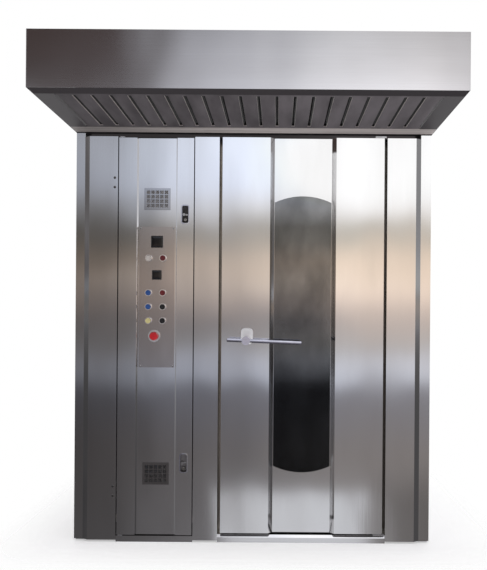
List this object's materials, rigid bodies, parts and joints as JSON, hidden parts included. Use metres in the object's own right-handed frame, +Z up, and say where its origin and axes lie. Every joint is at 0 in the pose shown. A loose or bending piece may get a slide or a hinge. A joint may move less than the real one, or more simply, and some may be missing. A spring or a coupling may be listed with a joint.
{
  "type": "rack oven",
  "caption": "Stainless steel bakery rack oven with a windowed swing door, a service door with controls and a baffled vapour hood over the front.",
  "frame": {"origin": "on the floor, in the middle of the oven's outline seen from above", "axes": "+Z up, +X to the right seen from the front, the front faces -Y"},
  "size_m": [1.82, 2.088, 2.45],
  "materials": {
    "stainless_steel": "brushed stainless sheet",
    "liner_steel": "mill-finish stainless sheet, browned by heat",
    "dark_steel": "black-brown painted steel",
    "galvanised_steel": "galvanised sheet",
    "chrome": "polished chrome",
    "machine_steel": "turned steel",
    "cast_iron": "rough cast iron",
    "motor_paint": "blue-grey machine paint",
    "mineral_wool": "mineral wool slab",
    "seal_rubber": "black silicone rubber",
    "tinted_glass": "dark tinted toughened glass",
    "black_plastic": "black moulded plastic",
    "red_plastic": "red moulded plastic",
    "dark_red_plastic": "dark red moulded plastic",
    "blue_plastic": "blue moulded plastic",
    "yellow_plastic": "cream yellow moulded plastic",
    "lamp_plastic": "clear lamp lens"
  },
  "bodies": {
    "oven": {"base_rails": "dark_steel", "threshold": "stainless_steel", "chamber_liner": "liner_steel", "chamber_duct_wall": "liner_steel", "insulation_slabs": "mineral_wool", "door_frame": "liner_steel", "side_panels": "stainless_steel", "rear_panel": "stainless_steel", "roof_panel": "stainless_steel", "front_panel_left": "stainless_steel", "front_panel_centre": "stainless_steel", "front_panel_right": "stainless_steel", "front_header": "stainless_steel", "kick_plate": "stainless_steel", "compartment_bulkhead": "galvanised_steel", "hood_fascia": "stainless_steel", "hood_box": "stainless_steel", "hood_gutter": "stainless_steel", "baffle_filters": "stainless_steel", "hood_fan_housing": "galvanised_steel", "hinge_brackets": "machine_steel", "heat_exchanger": "dark_steel", "burner": "motor_paint", "circulation_motor": "motor_paint", "steam_generator": "cast_iron", "electrical_panel": "galvanised_steel", "rack_drive": "motor_paint", "flue_spigot": "stainless_steel", "service_inlets": "machine_steel"},
    "door": {"door_leaf": "stainless_steel", "door_inner_panel": "liner_steel", "window_panes": "tinted_glass", "door_insulation": "mineral_wool", "door_gasket": "seal_rubber", "door_pivots": "machine_steel", "handle_boss": "chrome"},
    "door_lever": {"handle_hub": "chrome", "handle_bar": "chrome", "latch_cam": "machine_steel"},
    "service_door": {"service_door_leaf": "stainless_steel", "service_pivots": "machine_steel", "vent_grilles": "stainless_steel", "control_plate": "stainless_steel", "displays": "black_plastic", "switch_collars": "black_plastic", "pilot_lamp": "lamp_plastic", "latch_pans": "stainless_steel"},
    "start_button": {"start_button": "dark_red_plastic"},
    "blue_button": {"blue_button": "blue_plastic"},
    "red_button": {"red_button": "dark_red_plastic"},
    "steam_button": {"steam_button": "blue_plastic"},
    "lamp_button": {"lamp_button": "yellow_plastic"},
    "upper_selector": {"upper_selector": "black_plastic"},
    "lower_selector": {"lower_selector": "black_plastic"},
    "lower_latch": {"lower_latch": "machine_steel"},
    "upper_latch": {"upper_latch": "machine_steel"},
    "stop_button": {"stop_button": "red_plastic"},
    "hood_impeller": {"hood_impeller": "machine_steel"},
    "circulation_fan": {"circulation_fan": "machine_steel"},
    "rack_hook": {"rack_hook": "machine_steel"}
  },
  "joints": [
    {"name": "door_swing", "type": "hinge", "parent": "oven", "child": "door", "pos_m": [0.65, -0.324, 0.038], "axis": [0, 0, 1], "range_deg": [0, 110]},
    {"name": "service_door_swing", "type": "hinge", "parent": "oven", "child": "service_door", "pos_m": [-0.672, -0.334, 0.036], "axis": [0, 0, -1], "range_deg": [0, 110]},
    {"name": "lever_turn", "type": "hinge", "parent": "door", "child": "door_lever", "pos_m": [-0.029, -0.413, 1.035], "axis": [0, 1, 0], "range_deg": [0, 90]},
    {"name": "circulation_spin", "type": "hinge", "parent": "oven", "child": "circulation_fan", "pos_m": [-0.6, -0.014, 1.7204], "axis": [0, 1, 0], "continuous": true},
    {"name": "hood_fan_spin", "type": "hinge", "parent": "oven", "child": "hood_impeller", "pos_m": [0, -0.544, 2.376], "axis": [0, 0, 1], "continuous": true},
    {"name": "rack_turn", "type": "hinge", "parent": "oven", "child": "rack_hook", "pos_m": [0.254, 0.345, 2.09], "axis": [0, 0, 1], "continuous": true},
    {"name": "lower_latch_slide", "type": "slide", "parent": "service_door", "child": "lower_latch", "axis": [1, 0, 0], "range_m": [0, 0.014]},
    {"name": "upper_latch_slide", "type": "slide", "parent": "service_door", "child": "upper_latch", "axis": [1, 0, 0], "range_m": [0, 0.014]},
    {"name": "start_button_press", "type": "slide", "parent": "service_door", "child": "start_button", "axis": [0, 1, 0], "range_m": [0, 0.004], "stiffness_N_per_m": 800},
    {"name": "blue_button_press", "type": "slide", "parent": "service_door", "child": "blue_button", "axis": [0, 1, 0], "range_m": [0, 0.004], "stiffness_N_per_m": 800},
    {"name": "red_button_press", "type": "slide", "parent": "service_door", "child": "red_button", "axis": [0, 1, 0], "range_m": [0, 0.004], "stiffness_N_per_m": 800},
    {"name": "steam_button_press", "type": "slide", "parent": "service_door", "child": "steam_button", "axis": [0, 1, 0], "range_m": [0, 0.004], "stiffness_N_per_m": 800},
    {"name": "lamp_button_press", "type": "slide", "parent": "service_door", "child": "lamp_button", "axis": [0, 1, 0], "range_m": [0, 0.004], "stiffness_N_per_m": 800},
    {"name": "stop_button_press", "type": "slide", "parent": "service_door", "child": "stop_button", "axis": [0, 1, 0], "range_m": [0, 0.006], "stiffness_N_per_m": 800},
    {"name": "upper_selector_turn", "type": "hinge", "parent": "service_door", "child": "upper_selector", "pos_m": [-0.4615, -0.335, 1.201], "axis": [0, 1, 0], "range_deg": [-45, 45]},
    {"name": "lower_selector_turn", "type": "hinge", "parent": "service_door", "child": "lower_selector", "pos_m": [-0.4615, -0.335, 1.13], "axis": [0, 1, 0], "range_deg": [-45, 45]}
  ]
}
